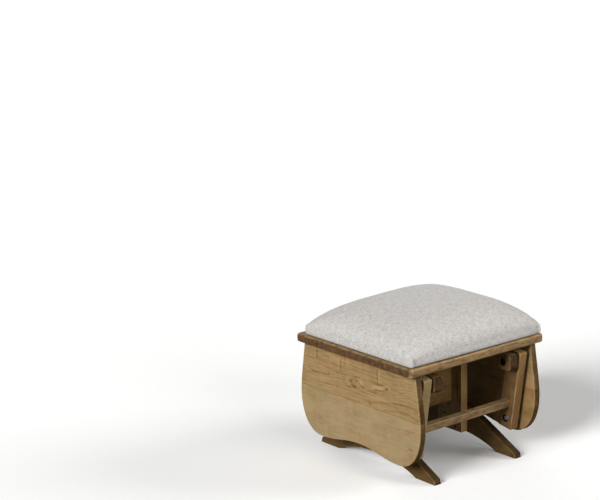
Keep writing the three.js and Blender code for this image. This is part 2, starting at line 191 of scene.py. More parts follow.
# how far the ripple moves a stroke, and how wide a glue line looks
STROKE_WANDER = (6 * MM, 0, 4 * MM)
GLUE_LINE = (0.3 * MM, 1.4 * MM)
# how much each thing moves the tone, where 0.5 is plain wood
FIBRE_TONE = 0.52
LATE_WOOD_TONE = -0.08
CURL_TONE = 0.12
STRIP_TONE = 0.03
GLUE_TONE = 0.16
CALM_FIGURE = 0.35      # the share of the figure that a calm board shows
# how many rings the waves and the ripple move the figure
WAVE_RINGS = 5.5
RIPPLE_RINGS = 0.7
WOOD_TONES = [(0.0, "#3A2A19"), (0.25, "#745E3E"), (0.5, "#9F8B69"), (0.75, "#B09B78"), (1.0, "#C0AC89")]
WOOD_LEANS = [(0.32, "#F8FAEF"), (0.5, "#FCFAF5"), (0.68, "#FFF4EC")]
# the colour painted on the walls of the bolt holes, as the shade inside them
BORE_PAINTED_SHADE = "#150E08"
# paler rubbed wood on the arrises, also a painted highlight where edges and corners catch the light
RUBBED_AND_GLINT_COLOUR = "#B3996F"
# how strongly the glaze's clouds show, and how many times finer they are than on the left panel
WIDE = (0.34, 1.0)
SMALL = (0.85, 2.4)


def glued_strips(tree, turned, axes, strip):
    """Each strip has its own piece of the figure and a slightly other tone, with a dark glue line."""
    axis, width, start = strip
    count = add(tree, MATH, {0: axes[axis], 1: start}, operation="SUBTRACT")
    count = add(tree, MATH, {0: count, 1: width}, operation="DIVIDE")
    number = add(tree, MATH, {0: count}, operation="FLOOR")
    chance = add(tree, "ShaderNodeTexWhiteNoise", {"W": number}, noise_dimensions="1D")
    board = add(tree, VECTOR_MATH, {
        0: chance.outputs["Color"], 1: (3, 0.2, 0.2), 2: turned,
    }, operation="MULTIPLY_ADD")
    tone = add(tree, MAP_RANGE, {
        "Value": chance.outputs["Value"], "To Min": -STRIP_TONE, "To Max": STRIP_TONE,
    })
    near = add(tree, MATH, {0: count, 1: 1.0}, operation="PINGPONG")
    seam = add(tree, MAP_RANGE, {
        "Value": near, "From Min": GLUE_LINE[0] / width, "From Max": GLUE_LINE[1] / width,
        "To Min": GLUE_TONE, "To Max": 0.0,
    })
    return board, add(tree, MATH, {0: tone, 1: seam}, operation="SUBTRACT")


def ring_depth(tree, board, axes, ripple, shift):
    """How many rings deep a point lies, with long waves and small ripples."""
    wave = marks_of(tree, board, RING_WAVE, roughness=0.45, start=(shift, shift, 0))
    depth = add(tree, MATH, {0: axes[2], 1: RING_PITCH * MM}, operation="DIVIDE")
    depth = add(tree, MATH, {0: wave, 1: WAVE_RINGS, 2: depth}, operation="MULTIPLY_ADD")
    return add(tree, MATH, {0: ripple, 1: RIPPLE_RINGS, 2: depth}, operation="MULTIPLY_ADD")


def knot(tree, turned, ripple, along_place, across_place, long_radius, short_radius, sweep, darkness):
    """How far a knot pulls the rings round it, and its dark heart."""
    offset = add(tree, VECTOR_MATH, {
        0: turned, 1: (along_place * MM, 0, across_place * MM),
    }, operation="SUBTRACT")
    scaled = add(tree, VECTOR_MATH, {
        0: offset, 1: (1 / (long_radius * MM), 0, 1 / (short_radius * MM)),
    }, operation="MULTIPLY")
    reach = add(tree, VECTOR_MATH, {0: scaled}, operation="LENGTH").outputs["Value"]
    reach = add(tree, MATH, {0: ripple, 1: RIPPLE_RINGS, 2: reach}, operation="MULTIPLY_ADD")
    pull = add(tree, MAP_RANGE, {
        "Value": reach, "From Min": 0.3, "From Max": 4.0, "To Min": sweep, "To Max": 0.0,
    }, interpolation_type="SMOOTHSTEP")
    heart = add(tree, MAP_RANGE, {
        "Value": reach, "From Min": 0.3, "From Max": 1.3, "To Min": darkness, "To Max": 0.0,
    }, interpolation_type="SMOOTHSTEP")
    return pull, heart


def stroke(tree, turned, wander, start_y, start_z, end_y, end_z, width, darkness):
    """A soft dark or light mark from one place to another, left by the planing and the glaze."""
    start = Vector((start_y, 0, start_z)) * MM
    end = Vector((end_y, 0, end_z)) * MM
    way = (end - start) / 2
    across = Vector((-way.z, 0, way.x)).normalized() / (width * MM)
    offset = add(tree, VECTOR_MATH, {0: turned, 1: start + way}, operation="SUBTRACT")
    offset = add(tree, VECTOR_MATH, {
        0: wander, 1: STROKE_WANDER, 2: offset,
    }, operation="MULTIPLY_ADD")
    fades = []
    for direction, solid_to in ((way / way.length_squared, 0.4), (across, 0.0)):
        aside = add(tree, VECTOR_MATH, {0: offset, 1: direction}, operation="DOT_PRODUCT")
        aside = add(tree, MATH, {0: aside}, operation="ABSOLUTE")
        fades.append(add(tree, MAP_RANGE, {
            "Value": aside, "From Min": solid_to, "From Max": 1.0, "To Min": 1.0, "To Max": 0.0,
        }, interpolation_type="SMOOTHSTEP"))
    mark = add(tree, MATH, {0: fades[0], 1: fades[1]}, operation="MULTIPLY")
    return add(tree, MATH, {0: mark, 1: darkness}, operation="MULTIPLY")


def late_wood(tree, depth):
    """The dark part of each ring: it comes slowly and ends at once."""
    ring = add(tree, MATH, {0: depth}, operation="FRACT")
    late = add(tree, MAP_RANGE, {
        "Value": ring, "From Min": 0.35, "From Max": 1.0, "To Min": 0.0, "To Max": 1.0,
    }, interpolation_type="SMOOTHSTEP")
    fall = add(tree, MAP_RANGE, {
        "Value": ring, "From Min": 0.0, "From Max": 0.12, "To Min": 1.0, "To Max": 0.0,
    })
    return add(tree, MATH, {0: late, 1: fall}, operation="MAXIMUM")


def end_grain_glaze_and_painted_tone(tree, coordinate, cloud, colour, way, sawn, end_grain_and_painted_tone):
    """End grain drinks more glaze, and so does the sawn edge of a board cut to a curve; on some pieces
    its colour also holds painted shade or a painted highlight. Gives the colour, and where the end
    colour lies."""
    facing = add(tree, VECTOR_MATH, {
        0: coordinate.outputs["Normal"], 1: way,
    }, operation="DOT_PRODUCT")
    facing = add(tree, MATH, {0: facing.outputs["Value"]}, operation="ABSOLUTE")
    end = add(tree, MAP_RANGE, {
        "Value": facing, "From Min": 0.45 if sawn else 0.25, "From Max": 0.95 if sawn else 0.7,
        "To Min": 1.0 if sawn else 0.0, "To Max": 0.0 if sawn else 1.0,
    }, interpolation_type="SMOOTHSTEP")
    share = add(tree, MAP_RANGE, {
        "Value": cloud, "From Min": 0.35, "From Max": 0.65, "To Min": 1.0, "To Max": 0.72,
    })
    end = add(tree, MATH, {0: end, 1: share}, operation="MULTIPLY")
    pore = marks_of(tree, coordinate.outputs["Object"], PORE)
    pore = add(tree, MAP_RANGE, {"Value": pore, "From Min": 0.42, "From Max": 0.7})
    paler = [min(1.0, part * 1.45) for part in linear(end_grain_and_painted_tone)]
    dark = add(tree, MIX, {0: pore, 6: linear(end_grain_and_painted_tone), 7: paler}, data_type="RGBA")
    return add(tree, MIX, {0: end, 6: colour, 7: dark}, data_type="RGBA"), end


def bore_shade_arris_wear_and_glint(tree, place, colour, wear_and_glint):
    """The walls of the drilled holes are painted dark as the shade in them, and arrises are rubbed
    through to paler wood in places, partly as a painted highlight."""
    # the walls of the bolt holes are painted dark, as the shade in them
    bored = add(tree, "ShaderNodeAttribute", attribute_name="bore").outputs["Fac"]
    colour = add(tree, MIX, {0: bored, 6: colour, 7: linear(BORE_PAINTED_SHADE)}, data_type="RGBA")
    # arrises are rubbed paler in patches, which also paints a highlight on them
    arris = add(tree, "ShaderNodeAttribute", attribute_name="arris").outputs["Fac"]
    rub = marks_of(tree, place, RUB, detail=3, roughness=0.6)
    rubbed_and_glint = add(tree, MAP_RANGE, {
        "Value": rub, "From Min": 0.4, "From Max": 0.62, "To Min": 0.1 * wear_and_glint, "To Max": 0.5 * wear_and_glint,
    })
    rubbed_and_glint = add(tree, MATH, {0: arris, 1: rubbed_and_glint}, operation="MULTIPLY")
    return add(tree, MIX, {0: rubbed_and_glint, 6: colour, 7: linear(RUBBED_AND_GLINT_COLOUR)}, data_type="RGBA")


def wood_figure(tree, board, turned, axes, figure, calm_below, knots, strokes, shift):
    """The tone of the wood before the glaze, and its fibres."""
    ripple = marks_of(tree, board, RIPPLE)
    wander = add(tree, VECTOR_MATH, {
        0: ripple.outputs["Color"], 1: (0.5, 0.5, 0.5),
    }, operation="SUBTRACT")
    depth = ring_depth(tree, board, axes, ripple, shift)
    marks = []
    for values in knots:
        pull, heart = knot(tree, turned, ripple, *values)
        depth = add(tree, MATH, {0: depth, 1: pull}, operation="ADD")
        marks.append(heart)
    marks += [stroke(tree, turned, wander, *values) for values in strokes]

    fibre = marks_of(tree, board, FIBRE, detail=3, roughness=0.6)
    strength = figure
    if calm_below:
        strength = add(tree, MAP_RANGE, {
            "Value": axes[2], "From Min": calm_below - MM, "From Max": calm_below + MM,
            "To Min": figure * CALM_FIGURE, "To Max": figure,
        })
    grain = add(tree, MATH, {
        0: late_wood(tree, depth), 1: LATE_WOOD_TONE, 2: 0.03,
    }, operation="MULTIPLY_ADD")
    grain = moved_by(tree, grain, fibre, FIBRE_TONE)
    tone = add(tree, MATH, {0: grain, 1: strength, 2: 0.5}, operation="MULTIPLY_ADD")
    for mark in marks:
        tone = add(tree, MATH, {0: tone, 1: mark}, operation="SUBTRACT")
    return tone, fibre


def maple(name, along, tint, upper_tint=None, end_grain_and_painted_tone="#503722", sawn=False, wear_and_glint=0.7, figure=1.0,
          blotch=WIDE, strip=None, calm_below=None, knots=(), strokes=(), shift=0.0):
    """Tint and upper tint are the glaze's, the upper one above calm_below, under which the figure is
    calm; on the feet, rails and stretchers the tint also darkens the piece as painted shade. The end
    colour is the end grain's, and a sawn board shows it on all faces round its thickness; on the feet,
    rails and right arms it is darker as painted shade, and on the uprights it is pale as a painted
    highlight. Strip is an axis, a width and a start of the glued strips."""
    material, tree = new_material(name)
    coordinate = add(tree, "ShaderNodeTexCoord")
    place = coordinate.outputs["Object"]
    turned = add(tree, "ShaderNodeMapping", {"Vector": place, "Rotation": GRAIN_TURN[along]})
    axes = add(tree, "ShaderNodeSeparateXYZ", {0: turned}).outputs
    board, strip_tone = glued_strips(tree, turned, axes, strip) if strip else (turned, None)
    tone, fibre = wood_figure(tree, board, turned, axes, figure, calm_below, knots, strokes, shift)

    # cloudy glaze, and the faint bands across the grain that maple shows in the light
    cloudiness, finer = blotch
    sizes = [size / finer for size in GLAZE_CLOUD]
    cloud = marks_of(tree, board, sizes, detail=4, roughness=0.62, start=(0, shift, 2))
    tone = moved_by(tree, tone, cloud, cloudiness)
    tone = moved_by(tree, tone, marks_of(tree, board, CURL), CURL_TONE)
    if strip_tone:
        tone = add(tree, MATH, {0: tone, 1: strip_tone}, operation="ADD")
    colour = add(tree, "ShaderNodeValToRGB", {"Fac": tone}, stops=WOOD_TONES)

    # some clouds lean to green, others to red
    hue = marks_of(tree, board, HUE_CLOUD, detail=3, start=(3, 1, 7))
    lean = add(tree, "ShaderNodeValToRGB", {"Fac": hue}, stops=WOOD_LEANS)
    glaze = linear(tint)
    if upper_tint:
        above = add(tree, MATH, {0: axes[2], 1: calm_below}, operation="GREATER_THAN")
        glaze = add(tree, MIX, {0: above, 6: glaze, 7: linear(upper_tint)}, data_type="RGBA")
    for layer in (lean, glaze):
        colour = add(tree, MIX, {
            0: 1.0, 6: colour, 7: layer,
        }, data_type="RGBA", blend_type="MULTIPLY")

    way = (1, 0, 0) if sawn else GRAIN_WAY.get(along, (0, 0, 1))
    colour, end = end_grain_glaze_and_painted_tone(tree, coordinate, cloud, colour, way, sawn, end_grain_and_painted_tone)
    colour = bore_shade_arris_wear_and_glint(tree, place, colour, wear_and_glint)
    bump = add(tree, "ShaderNodeBump", {"Height": fibre, "Strength": 0.1, "Distance": 0.4 * MM})
    gloss = add(tree, MAP_RANGE, {"Value": cloud, "To Min": 0.4, "To Max": 0.55})
    gloss = add(tree, MIX, {0: end, 2: gloss, 3: 0.8})
    return surfaced(material, {
        "Base Color": colour, "Roughness": gloss, "Normal": bump, "IOR": 1.32,
        "Specular Tint": linear("#E0C7A2"),
    })


# Steel and brass, turned or pressed: zinc plate, which looks bluish, black phosphate and bare brass.
# The eye sees fine rings of the tool and a faint stain of handling.
TOOL_RINGS = (0.25, 5, 5)
STAIN = (2.381, 2.381, 2.381)


def turned_metal(name, dark, light, roughness, metallic=1.0):
    material, tree = new_material(name)
    place = add(tree, "ShaderNodeTexCoord").outputs["Object"]
    stain = marks_of(tree, place, STAIN, detail=3)
    spread = add(tree, MAP_RANGE, {
        "Value": stain, "To Min": roughness * 0.75, "To Max": roughness * 1.3,
    })
    colour = add(tree, "ShaderNodeValToRGB", {"Fac": stain}, stops=[(0.3, dark), (0.7, light)])
    rings = marks_of(tree, place, TOOL_RINGS)
    bump = add(tree, "ShaderNodeBump", {"Height": rings, "Strength": 0.1, "Distance": 0.05 * MM})
    return surfaced(material, {
        "Base Color": colour, "Metallic": metallic, "Roughness": spread, "Normal": bump,
    })


# Linen-look plain weave: pale warm-grey threads, each a little lighter or darker than the next,
# with slubs, matt and faintly fuzzy. The weave shows in some patches and is even in others.
# The threads are about 0.7 mm apart and drawn at 1.5 mm, so that they show.
THREAD_PITCH = 1.5
THREAD_RUN = 14
SLUBS = ((16.67, 2.381, 1000), (2.381, 16.67, 1000))
WEAVE_PATCH = (29.41, 29.41, 1000)
CLOTH_CLOUD = (20.83, 20.83, 1000)
LINEN_TONES = [(0.22, "#8D8984"), (0.42, "#AAA6A2"), (0.55, "#B6B3AF"), (0.78, "#C6C3BF")]


def woven_threads(tree, cloth):
    """The tone of the thread that lies on top, and the height of its round back."""
    axes = add(tree, "ShaderNodeSeparateXYZ", {0: cloth}).outputs
    numbers, tones, heights = [], [], []
    for across, along in ((0, 1), (1, 0)):
        place = add(tree, MATH, {0: axes[across], 1: THREAD_PITCH * MM}, operation="DIVIDE")
        number = add(tree, MATH, {0: place}, operation="FLOOR")
        inside = add(tree, MATH, {0: place}, operation="FRACT")
        run = add(tree, MATH, {0: axes[along], 1: THREAD_RUN * MM}, operation="DIVIDE")
        where = add(tree, "ShaderNodeCombineXYZ", {0: number, 1: run, 2: across * 7.0 + 3})
        turn = add(tree, MATH, {0: inside, 1: math.pi}, operation="MULTIPLY")
        numbers.append(number)
        tones.append(add(tree, "ShaderNodeTexNoise", {
            "Vector": where, "Scale": 1, "Detail": 2, "Roughness": 0.7,
        }))
        heights.append(add(tree, MATH, {0: turn}, operation="SINE"))
    total = add(tree, MATH, {0: numbers[0], 1: numbers[1]}, operation="ADD")
    over = add(tree, MATH, {0: total, 1: 2.0}, operation="FLOORED_MODULO")
    return [add(tree, MIX, {0: over, 2: pair[0], 3: pair[1]}) for pair in (tones, heights)]


def linen(name):
    material, tree = new_material(name)
    cloth = add(tree, "ShaderNodeUVMap", uv_map="cloth")
    thread, height = woven_threads(tree, cloth)
    slubs = [marks_of(tree, cloth, sizes, detail=3, roughness=0.65) for sizes in SLUBS]
    tone = add(tree, MATH, {0: slubs[0], 1: slubs[1]}, operation="ADD")
    tone = add(tree, MATH, {0: tone, 1: 1.0}, operation="SUBTRACT")
    patch = marks_of(tree, cloth, WEAVE_PATCH, detail=3, start=(5, 2, 0))
    patch = add(tree, MAP_RANGE, {
        "Value": patch, "From Min": 0.38, "From Max": 0.62, "To Min": 0.6, "To Max": 1.2,
    })
    tone = add(tree, MATH, {0: tone, 1: patch, 2: 0.5}, operation="MULTIPLY_ADD")
    cloud = marks_of(tree, cloth, CLOTH_CLOUD, start=(1, 8, 0))
    tone = moved_by(tree, tone, cloud, 0.2)
    tone = moved_by(tree, tone, thread, 0.6)
    colour = add(tree, "ShaderNodeValToRGB", {"Fac": tone}, stops=LINEN_TONES)
    bump = add(tree, "ShaderNodeBump", {"Height": height, "Strength": 0.35, "Distance": 0.3 * MM})
    return surfaced(material, {
        "Base Color": colour, "Roughness": 0.92, "Normal": bump,
        "Sheen Weight": 0.12, "Sheen Roughness": 0.5,
    })


# Birch plywood, sanded: pale veneers laid crosswise, which show as light and dark lines on the edge
VENEER = 1.5
VENEER_GRAINS = ((40, 2, 2), (2, 40, 2))


def plywood(name):
    material, tree = new_material(name)
    place = add(tree, "ShaderNodeTexCoord").outputs["Object"]
    level = add(tree, "ShaderNodeSeparateXYZ", {0: place}).outputs[2]
    count = add(tree, MATH, {0: level, 1: VENEER * MM}, operation="DIVIDE")
    number = add(tree, MATH, {0: count}, operation="FLOOR")
    odd = add(tree, MATH, {0: number, 1: 2.0}, operation="FLOORED_MODULO")
    grains = [marks_of(tree, place, sizes, detail=3) for sizes in VENEER_GRAINS]
    grain = add(tree, MIX, {0: odd, 2: grains[0], 3: grains[1]})
    tone = add(tree, MATH, {0: odd, 1: -0.25, 2: grain}, operation="MULTIPLY_ADD")
    colour = add(tree, "ShaderNodeValToRGB", {"Fac": tone}, stops=[
        (0.1, "#8C6A42"), (0.4, "#C2A276"), (0.7, "#DABF93"),
    ])
    return surfaced(material, {"Base Color": colour, "Roughness": 0.7, "IOR": 1.45})


PLY = plywood("birch_plywood")
BOLT_STEEL = turned_metal("zinc_plated_bolt_steel", "#8595A8", "#B2C0D0", 0.42, metallic=0.85)
DARK_STEEL = turned_metal("black_phosphate_steel", "#26282B", "#3C4044", 0.5)
BRIGHT_STEEL = turned_metal("zinc_plated_steel", "#B4B9BE", "#DADDE0", 0.3)
BRASS = turned_metal("turned_brass", "#A88446", "#B9964F", 0.3)
LINEN = linen("linen_weave")

# Knots of the panels: place along and across the grain in mm, radii along and across it in mm, how
# far the rings sweep round it, and how dark its heart is
LEFT_PANEL_KNOTS = [
    (8, 258, 8, 5, 2.6, 0.40),
    (-86, 258, 34, 6, 1.3, 0.0),
    (-119, 263, 7, 4, 0.9, 0.40),
    (36, 234, 10, 3, 0.6, 0.30),
    (-49, 204, 10, 3, 0.4, 0.34),
    (-35, 158, 12, 4, 0.2, 0.12),
    (-215, 112, 14, 5, 0.4, 0.18),
    (127, 251, 12, 5, 0.6, 0.22),
    (195, 244, 12, 5, 0.5, 0.2),
]
RIGHT_PANEL_KNOTS = [
    (-70, 286, 8, 4, 0.9, 0.28),
    (110, 148, 10, 4, 0.6, 0.2),
]
# Strokes of the left panel: y and z in mm where it starts and ends, its width in mm, and its
# darkness, which is below zero where it is pale
LEFT_PANEL_STROKES = [
    # upright marks of the plane under the seat top
    (182, 280, 181, 318, 5.4, 0.17), (188, 280, 187, 318, 8.1, -0.14),
    (77, 264, 77, 312, 5.4, 0.19), (84, 266, 83, 312, 8.1, -0.15),
    (55, 288, 55, 318, 5.4, 0.17), (48, 288, 48, 318, 8.1, -0.12),
    (-81, 268, -80, 318, 5.4, 0.19), (-88, 268, -87, 316, 8.1, -0.16),
    (-20, 286, -20, 318, 5.4, 0.1), (130, 282, 130, 318, 5.4, 0.086),
    # the eye of the large knot and the lines that sweep round it
    (-2, 262, -22, 252, 7.5, -0.38), (20, 268, -14, 271, 4.05, 0.2),
    (24, 262, 36, 246, 6.75, 0.19), (36, 243, 2, 235, 6.75, 0.22),
    (-2, 248, -30, 242, 5.4, 0.19), (50, 262, 46, 240, 8.1, -0.16),
    # the pale spear and its dark outline
    (-46, 254, -114, 262, 8.5, -0.32), (-56, 247, -122, 257, 4.725, 0.2),
    (-66, 267, -118, 269, 4.05, 0.13),
    # long dark streaks
    (-17, 204, -237, 243, 6.75, 0.13), (-73, 194, -248, 221, 6.75, 0.13),
    (210, 214, 60, 226, 8.1, 0.1), (160, 262, 40, 266, 5.4, 0.12),
    (230, 240, 110, 246, 6.75, 0.12), (-10, 240, -130, 244, 5.4, 0.1),
    (-140, 268, -235, 262, 5.4, 0.12), (-183, 160, -237, 166, 8.1, 0.072),
    # paler patches between them
    (150, 300, 20, 302, 21.6, -0.1), (-20, 225, -140, 232, 16.2, -0.1),
    (220, 226, 120, 234, 13.5, -0.08),
]
# each panel is glued of two boards, and the lower one is calm
PANEL_JOINT = 0.194
PANEL = {"along": "Y", "end_grain_and_painted_tone": "#39260C", "sawn": True, "calm_below": PANEL_JOINT,
         "strip": (2, 0.141, PANEL_JOINT)}
FOOT = {"along": "Y", "sawn": True, "wear_and_glint": 0.3, "blotch": SMALL}
ARM = {"tint": "#C4B4A2", "sawn": True, "wear_and_glint": 1.3, "blotch": SMALL}
# colours of the arms' sawn faces: the right arms' are darker, as painted shade deeper inside
ARM_EDGE_GRAIN_AND_SHADE = {"left": "#84714F", "right": "#7E5F3C"}
WOOD = {
    "panel_left": maple(
        "glazed_maple_left_panel", tint="#F6F5F4", upper_tint="#EDE2D5", figure=1.25,
        knots=LEFT_PANEL_KNOTS, strokes=LEFT_PANEL_STROKES, **PANEL,
    ),
    "panel_right": maple(
        "glazed_maple_right_panel", tint="#ECDCC6", upper_tint="#ECE1D0", blotch=(0.6, 1.4),
        knots=RIGHT_PANEL_KNOTS, shift=5.0, **PANEL,
    ),
    "top": maple(
        "glazed_maple_seat_top", "X", tint="#DACDC5", end_grain_and_painted_tone="#432F1C", wear_and_glint=0.6, blotch=(1.0, 5.0),
        strip=(1, 0.09, -0.2),
    ),
    "cross_board": maple("glazed_maple_cross_board", "X", tint="#C6B196", blotch=SMALL),
    # the feet are tinted darker and their sawn faces darker still, the left foot and the right each to
    # its own depth, as painted shade from the panels and the body above them
    "foot_left": maple("glazed_maple_left_foot_painted_shade", tint="#8B7C67", end_grain_and_painted_tone="#301F0E", **FOOT),
    "foot_right": maple("glazed_maple_right_foot_painted_shade", tint="#A3937C", end_grain_and_painted_tone="#26190B", **FOOT),
    # the rails are tinted darker and their ends nearly black, as painted shade under the seat top
    "rail": maple(
        "glazed_maple_hanger_rails_painted_shade", "Y", tint="#B7A692", end_grain_and_painted_tone="#2A1B0E", wear_and_glint=0.25, blotch=SMALL,
    ),
    # the uprights' sawn edges are pale, a painted highlight on their front edges
    "upright": maple(
        "glazed_maple_uprights_painted_light", "Z", tint="#D4CAB2", end_grain_and_painted_tone="#98794F", sawn=True, blotch=SMALL,
    ),
    # the stretchers are tinted darker, as painted shade under the seat top
    "stretcher": maple("glazed_maple_stretchers_painted_shade", "X", tint="#D0C4BE", blotch=(1.0, 4.0)),
}
for side in SIDES:
    for end in ENDS:
        WOOD[f"{end}_arm_{side}"] = maple(
            f"glazed_maple_{end}_{side}_arm", f"{end}_arm", end_grain_and_painted_tone=ARM_EDGE_GRAIN_AND_SHADE[side], **ARM,
        )


def replaced(name, work, sharp_turn, material, slot):
    """The worked mesh as the piece that replaces the node."""
    mesh = bpy.data.meshes.new(name + "_finished")
    work.to_mesh(mesh)
    work.free()
    mesh.set_sharp_from_angle(angle=sharp_turn)
    mesh.materials.append(material)
    piece = placed(name + "_finished", mesh)
    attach(piece, NODES[name]["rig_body"])
    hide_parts(name)
    return piece


# Wooden pieces: a copy of the solid, merged, with smooth arrises that know where they are worn and
# painted with a highlight, and with the walls of the bolt holes marked for painted shade
MERGE_WITHIN = 0.002 * MM
FLAT_TURN = math.radians(0.4)
SHARP_TURN = math.radians(35)
FLAT_FACE_WEIGHT = 80
BEVEL_WIDTH = 2.9 * MM
BEVEL_TURN = math.radians(12)
CORNER_AREA = 1.5 * BEVEL_WIDTH * BEVEL_WIDTH
CORNER_WEAR_AND_GLINT = 2.2      # the points of the corners are rubbed most, and carry the strongest painted highlight
BORE_RADIUS = 12.5 * MM
BORE_SIDEWAYS = 0.5


def bolt_lines():
    """The y and z of the lines that the pivot bolts lie on."""
    boxes = [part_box(f"{level}_bolt_{end}_left") for level in ("upper", "lower") for end in ENDS]
    return [((low[1] + high[1]) / 2, (low[2] + high[2]) / 2) for low, high in boxes]


BOLT_LINES = bolt_lines()


def arris_wear_and_glint(face):
    """How much the face is rubbed and painted with a highlight: only narrow faces between two turns are,
    and corners most.
    """
    longest = sorted(face.edges, key=lambda edge: edge.calc_length())[-2:]
    area = face.calc_area()
    if area / longest[-1].calc_length() >= BEVEL_WIDTH:
        return 0.0
    if area < CORNER_AREA:
        return CORNER_WEAR_AND_GLINT
    return 1.0 if all(edge.calc_face_angle_signed(0) > BEVEL_TURN for edge in longest) else 0.0


def in_bore(face):
    """Whether the face is the wall of a hole round one of the bolts."""
    middle = face.calc_center_median()
    aside = min(math.hypot(middle.y - y, middle.z - z) for y, z in BOLT_LINES)
    return 1.0 if aside < BORE_RADIUS and abs(face.normal.x) < BORE_SIDEWAYS else 0.0


def refined(name, material, slot="stained_maple"):
    work = bmesh.new()
    work.from_mesh(NODES[name].data)
    bmesh.ops.remove_doubles(work, verts=work.verts, dist=MERGE_WITHIN)
    bmesh.ops.dissolve_limit(work, angle_limit=FLAT_TURN, verts=work.verts, edges=work.edges)
    for face in work.faces:
        face.smooth = True
    wear_and_glint_shares = [arris_wear_and_glint(face) for face in work.faces]
    bores = [in_bore(face) for face in work.faces]
    piece = replaced(name, work, SHARP_TURN, material, slot)
    for attribute, values in (("arris", wear_and_glint_shares), ("bore", bores)):
        piece.data.attributes.new(attribute, "FLOAT", "FACE").data.foreach_set("value", values)
    weighted = piece.modifiers.new("flat_faces", "WEIGHTED_NORMAL")
    weighted.keep_sharp = True
    weighted.weight = FLAT_FACE_WEIGHT


for side in SIDES:
    refined(f"side_panel_{side}", WOOD[f"panel_{side}"])
    refined(f"foot_{side}", WOOD[f"foot_{side}"])
    refined(f"upright_{side}", WOOD["upright"])
    refined(f"hanger_rail_{side}", WOOD["rail"])
    for end in ENDS:
        refined(f"{end}_arm_{side}", WOOD[f"{end}_arm_{side}"])
for end in ENDS:
    refined(f"{end}_stretcher", WOOD["stretcher"])
refined("top_board", WOOD["top"])
refined("cross_board", WOOD["cross_board"])
refined("seat_board", PLY, slot="plywood")


# Cushion: one cloth drawn over a crowned pad and a plywood board, folded at the corners, and turned
# in under the edge. The cloth is blown up a little from inside, as the foam presses on it.
CUSHION_LOW, CUSHION_HIGH = (Vector(corner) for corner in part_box("seat_cushion"))
CUSHION_MIDDLE = (CUSHION_LOW + CUSHION_HIGH) / 2
HALF_X, HALF_Y = ((CUSHION_HIGH - CUSHION_LOW) / 2)[:2]
BOARD_LOW, BOARD_HIGH = (Vector(corner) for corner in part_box("seat_board"))
# the cloth's points lie a cell apart along its arc, the sides stand upright to the wall's height,
# and the crown rises from there and leans a little
CELL = 5 * MM
WALL = 22 * MM
CROWN_RISE = 78.5 * MM
CROWN_POWER, CROWN_ROOT = 3.48, 0.476
CROWN_LEAN_X, CROWN_LEAN_Y = 0.086, -0.009
ARC_SAMPLES = 4001
# the cloth starts this much inside the sides and is pressed outwards by no more than the most
START_INSIDE = 1.0 * MM
MOST_PRESSED = 3.0 * MM
# the cushion's front is not quite square to the seat top: its right end stands further out
FRONT_SKEW = 5 * MM
# plan radius of each corner, by side and end
CORNER_RADIUS = {(-1, -1): 6 * MM, (1, -1): 11 * MM, (-1, 1): 15 * MM, (1, 1): 15 * MM}
# below the crown, in mm: how far each ring of the cloth stands out, and its height above the seat top
SKIRT = [
    (0.8, 16.5), (1.3, 12.5), (1.3, 8.8), (0.8, 5.6), (-0.2, 3.3), (-2.0, 1.9), (-4.6, 1.2), (-8.0, 0.9),
]
POCKET_ROOM = 0.4 * MM
# the cloth's settings, its last frame, and the height and the downward turn where it is held
CLOTH = {
    "quality": 4, "mass": 0.3, "tension_stiffness": 12, "compression_stiffness": 12,
    "shear_stiffness": 6, "bending_stiffness": 1.5, "use_pressure": True,
    "uniform_pressure_force": 4, "vertex_group_mass": "held",
}
LAST_FRAME = 20
HELD_BELOW = 3 * MM
HELD_FACING = -0.5
FOLD_INSET = 10.5 * MM
FOLD_STEP = 0.9 * MM
FOLD_DEPTH = 6.0 * MM
FOLD_LENGTH = 34 * MM
FOLD_FOOT = 3 * MM
FOLD_HEIGHT = 62 * MM
# it draws in the front and rear only: how far behind them it begins, and within what it is full
FOLD_BAND = (40 * MM, 10 * MM)
# lumps of the foam: their size and height, how far above the seat top they begin, and within what
# height they are full
LUMP = 70 * MM
LUMP_HEIGHT = 0.8 * MM
LUMPS_FROM, LUMPS_WITHIN = 20 * MM, 30 * MM


def crown_height(places_along):
    """The crown's height as a share, at places from -1 to 1."""
    return np.clip(1 - np.abs(places_along) ** CROWN_POWER, 0, 1) ** CROWN_ROOT


def crown_steps(half):
    """Places from -1 to 1 along one direction of the crown, lying evenly along its arc, with two
    more at the edge of each fold, and their lengths along the arc."""
    fine = np.sin(np.linspace(-0.5, 0.5, ARC_SAMPLES) * math.pi)
    height = CROWN_RISE * crown_height(fine)
    length = np.concatenate(([0.0], np.cumsum(np.hypot(np.diff(fine * half), np.diff(height)))))
    steps = np.interp(np.linspace(0.0, length[-1], round(length[-1] / CELL) + 1), length, fine)
    edge = 1 - FOLD_INSET / half
    step = FOLD_STEP / half
    steps = [s for s in steps if abs(abs(s) - edge + step / 2) > step]
    steps = np.array(sorted(steps + [-edge, -edge + step, edge - step, edge]))
    return steps, np.interp(steps, fine, length) - length[-1] / 2


def rounded_plan(x, y, half_x, half_y):
    """A point of the rectangle moved inwards where the corner is rounded."""
    radius = CORNER_RADIUS[(1 if x > 0 else -1, 1 if y > 0 else -1)]
    over_x = abs(x) - (half_x - radius)
    over_y = abs(y) - (half_y - radius)
    if over_x > 0 and over_y > 0:
        a, b = over_x / radius, over_y / radius
        x = math.copysign(half_x - radius + over_x * math.sqrt(1 - b * b / 2), x)
        y = math.copysign(half_y - radius + over_y * math.sqrt(1 - a * a / 2), y)
    return x, y


